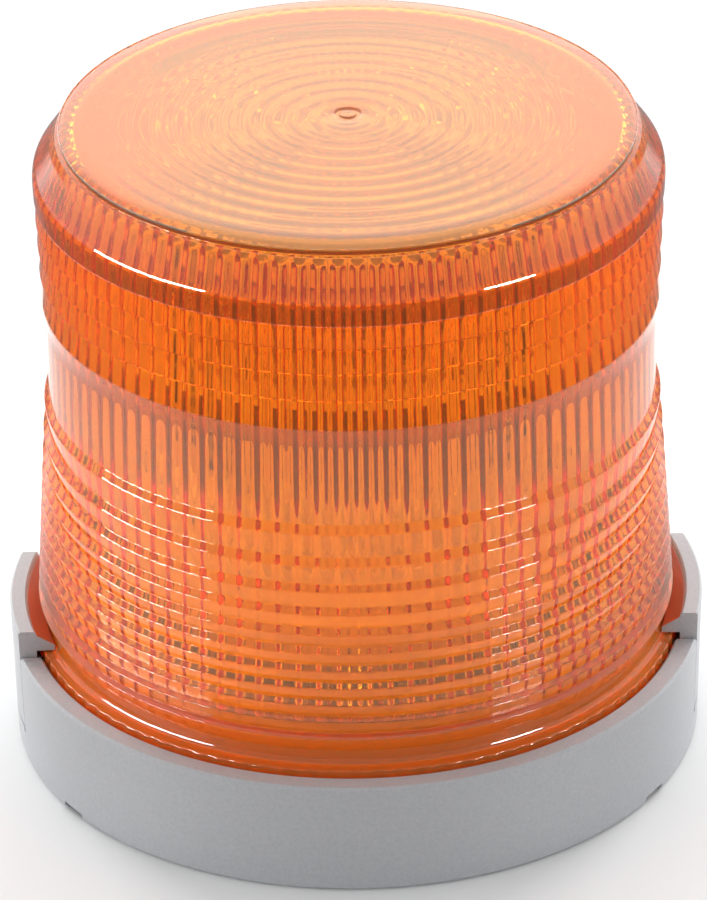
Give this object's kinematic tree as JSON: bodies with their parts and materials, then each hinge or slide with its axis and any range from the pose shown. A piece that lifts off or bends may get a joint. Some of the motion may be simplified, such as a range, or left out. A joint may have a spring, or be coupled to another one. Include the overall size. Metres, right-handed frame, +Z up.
{
  "type": "warning beacon light",
  "caption": "Round warning beacon: an amber prismatic dome lens held on a grey moulded base by spring latches, with a xenon flash tube and its circuit board inside.",
  "frame": {"origin": "centre of the circle that the base stands on, at the level of the surface it rests on", "axes": "+Z up along the axis of the dome, -Y towards the front, +X towards the right latch"},
  "size_m": [0.1332, 0.133, 0.1278],
  "materials": {
    "grey_moulding": "satin",
    "amber_lens": "gloss",
    "black_rubber": "matte",
    "grey_silicone": "matte",
    "board_laminate": "satin",
    "brass_fittings": "satin",
    "steel_screws": "satin",
    "white_moulding": "satin",
    "terminal_plastic": "satin",
    "clear_glass": "gloss",
    "plated_caps": "polished",
    "capacitor_sleeve": "gloss",
    "film_epoxy": "gloss",
    "copper_wire": "gloss",
    "bobbin_plastic": "matte",
    "ferrite": "matte",
    "white_ceramic": "matte",
    "diode_black": "satin",
    "blue_epoxy": "gloss",
    "socket_plastic": "satin",
    "tube_ceramic": "matte",
    "electrode_metal": "satin",
    "nickel_wire": "satin"
  },
  "bodies": {
    "base": {"base_housing": "grey_moulding", "lens": "amber_lens", "lens_gasket": "grey_silicone", "mounting_gasket": "black_rubber", "circuit_board": "board_laminate", "board_standoffs": "brass_fittings", "board_screws": "steel_screws", "board_cover": "white_moulding", "terminal_block": "terminal_plastic", "terminal_screws": "steel_screws", "fuse_clips": "brass_fittings", "fuse_glass": "clear_glass", "fuse_caps": "plated_caps", "storage_capacitors": "capacitor_sleeve", "film_capacitor": "film_epoxy", "trigger_coil": "copper_wire", "trigger_coil_bobbin": "bobbin_plastic", "choke_core": "ferrite", "choke_winding": "copper_wire", "power_resistors": "white_ceramic", "diodes": "diode_black", "surge_suppressor": "blue_epoxy", "tube_socket": "socket_plastic", "tube_base": "tube_ceramic", "tube_pins": "brass_fittings", "flash_tube": "clear_glass", "tube_electrodes": "electrode_metal", "trigger_wire": "nickel_wire"},
    "left_latch": {"left_latch": "grey_moulding"},
    "right_latch": {"right_latch": "grey_moulding"}
  },
  "joints": [
    {"name": "left_latch_flex", "type": "hinge", "parent": "base", "child": "left_latch", "pos_m": [-0.06335, 0, 0.0065], "axis": [0, -1, 0], "range_deg": [0, 7.5], "stiffness_Nm_per_rad": 0.03},
    {"name": "right_latch_flex", "type": "hinge", "parent": "base", "child": "right_latch", "pos_m": [0.06335, 0, 0.0065], "axis": [0, 1, 0], "range_deg": [0, 7.5], "stiffness_Nm_per_rad": 0.03}
  ]
}
